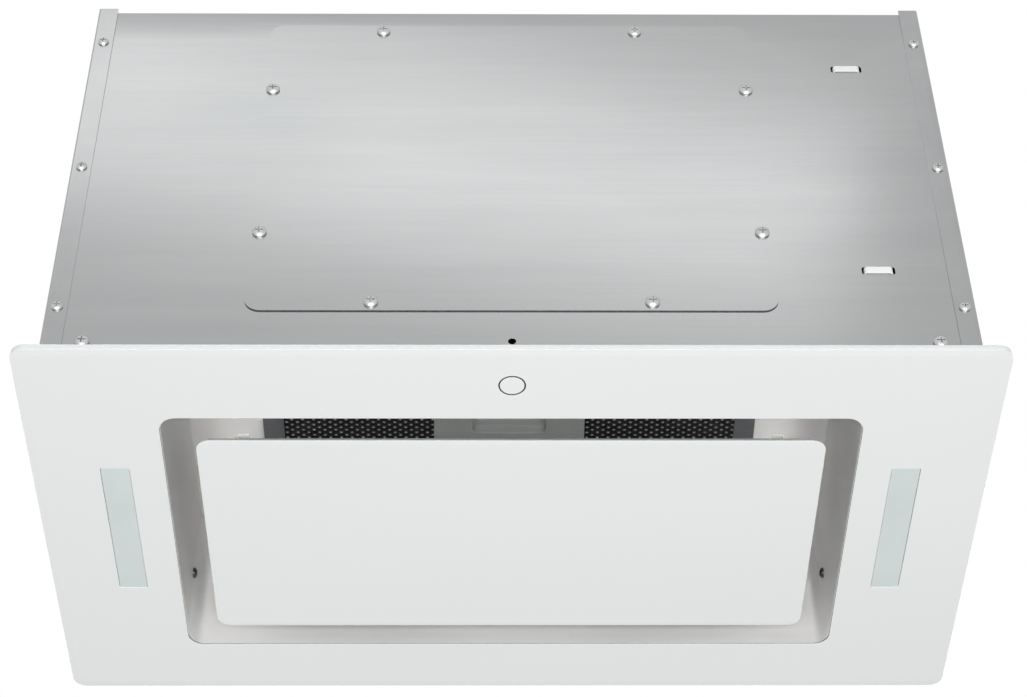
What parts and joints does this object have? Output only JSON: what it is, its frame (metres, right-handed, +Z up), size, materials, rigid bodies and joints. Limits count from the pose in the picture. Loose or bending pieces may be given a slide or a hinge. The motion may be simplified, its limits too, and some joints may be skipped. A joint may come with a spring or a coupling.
{
  "type": "ceiling range hood",
  "caption": "Built-in range hood with a white glass underside, edge-suction panel, grease filter, blower, two lamps and a top duct collar.",
  "frame": {"origin": "centre of the glass underside", "axes": "+X to the right, +Y to the back, +Z up"},
  "size_m": [0.54, 0.3, 0.353],
  "materials": {
    "white_glass": "white-painted toughened glass, polished edges",
    "tape": "grey foam adhesive tape",
    "zinc_sheet": "galvanised steel sheet, fine rolled grain",
    "grey_print": "grey light ring",
    "circuit_board": "green circuit board",
    "black_plastic": "black moulded plastic",
    "white_plastic": "white moulded plastic",
    "frosted_lens": "frosted lamp lens",
    "aluminium_sheet": "aluminium sheet",
    "brushed_steel": "brushed stainless steel",
    "bright_screws": "zinc-plated steel",
    "motor_can": "dark painted steel",
    "rubber": "black rubber",
    "sleeve": "black wire sleeve",
    "filter_frame": "dark anodised aluminium",
    "filter_mesh": "dark perforated aluminium",
    "filter_core": "stack of expanded aluminium mesh",
    "filter_plate": "dark satin aluminium"
  },
  "bodies": {
    "housing": {"glass_frame": "white_glass", "glass_bond_tape": "tape", "carrier_frame": "zinc_sheet", "touch_ring": "grey_print", "touch_board": "circuit_board", "touch_cover": "black_plastic", "lamp_lens_left": "frosted_lens", "lamp_lens_right": "frosted_lens", "lamp_board_left": "circuit_board", "lamp_board_right": "circuit_board", "lamp_housing_left": "aluminium_sheet", "lamp_housing_right": "aluminium_sheet", "suction_liner": "brushed_steel", "liner_brackets": "zinc_sheet", "liner_screws": "bright_screws", "front_panel": "zinc_sheet", "rear_panel": "zinc_sheet", "side_panel_left": "zinc_sheet", "side_panel_right": "zinc_sheet", "top_panel": "zinc_sheet", "blind_plate": "zinc_sheet", "outlet_plate": "zinc_sheet", "blind_plate_screws": "bright_screws", "outlet_plate_screws": "bright_screws", "flange_screws": "bright_screws", "corner_screws": "bright_screws", "duct_collar": "black_plastic", "flap_pins": "bright_screws", "blower_scroll": "zinc_sheet", "blower_cheek_left": "zinc_sheet", "blower_cheek_right": "zinc_sheet", "motor": "motor_can", "motor_bracket": "zinc_sheet", "motor_bushes": "rubber", "capacitor": "white_plastic", "control_box": "black_plastic", "control_box_lid": "black_plastic", "cable_gland": "black_plastic", "wiring_harness": "sleeve", "cable_ties": "white_plastic", "panel_rail_left": "zinc_sheet", "panel_rail_right": "zinc_sheet", "catch_clips": "white_plastic", "rail_screws": "bright_screws", "filter_springs": "bright_screws"},
    "panel": {"panel_glass": "white_glass", "panel_bond_tape": "tape", "panel_tray": "zinc_sheet", "panel_hinge_lugs": "zinc_sheet", "panel_hinge_pins": "bright_screws", "catch_studs": "bright_screws"},
    "filter": {"filter_frame": "filter_frame", "filter_mesh": "filter_mesh", "filter_core": "filter_core", "filter_middle_plate": "filter_plate", "filter_grip": "filter_plate"},
    "flap_front": {"flap_front": "black_plastic"},
    "flap_rear": {"flap_rear": "black_plastic"},
    "fan_wheel": {"impeller": "black_plastic", "motor_shaft": "bright_screws"}
  },
  "joints": [
    {"name": "panel_hinge", "type": "hinge", "parent": "housing", "child": "panel", "pos_m": [0, 0.076, 0.013], "axis": [1, 0, 0], "range_deg": [0, 90]},
    {"name": "filter_tilt", "type": "hinge", "parent": "housing", "child": "filter", "pos_m": [0, 0.0935, 0.1015], "axis": [1, 0, 0], "range_deg": [0, 20]},
    {"name": "flap_front_hinge", "type": "hinge", "parent": "housing", "child": "flap_front", "pos_m": [0, -0.0034, 0.3189], "axis": [-1, 0, 0], "range_deg": [0, 78]},
    {"name": "flap_rear_hinge", "type": "hinge", "parent": "housing", "child": "flap_rear", "pos_m": [0, 0.0034, 0.3189], "axis": [1, 0, 0], "range_deg": [0, 78]},
    {"name": "fan_spin", "type": "hinge", "parent": "housing", "child": "fan_wheel", "pos_m": [0, -0.036, 0.206], "axis": [1, 0, 0], "continuous": true}
  ]
}
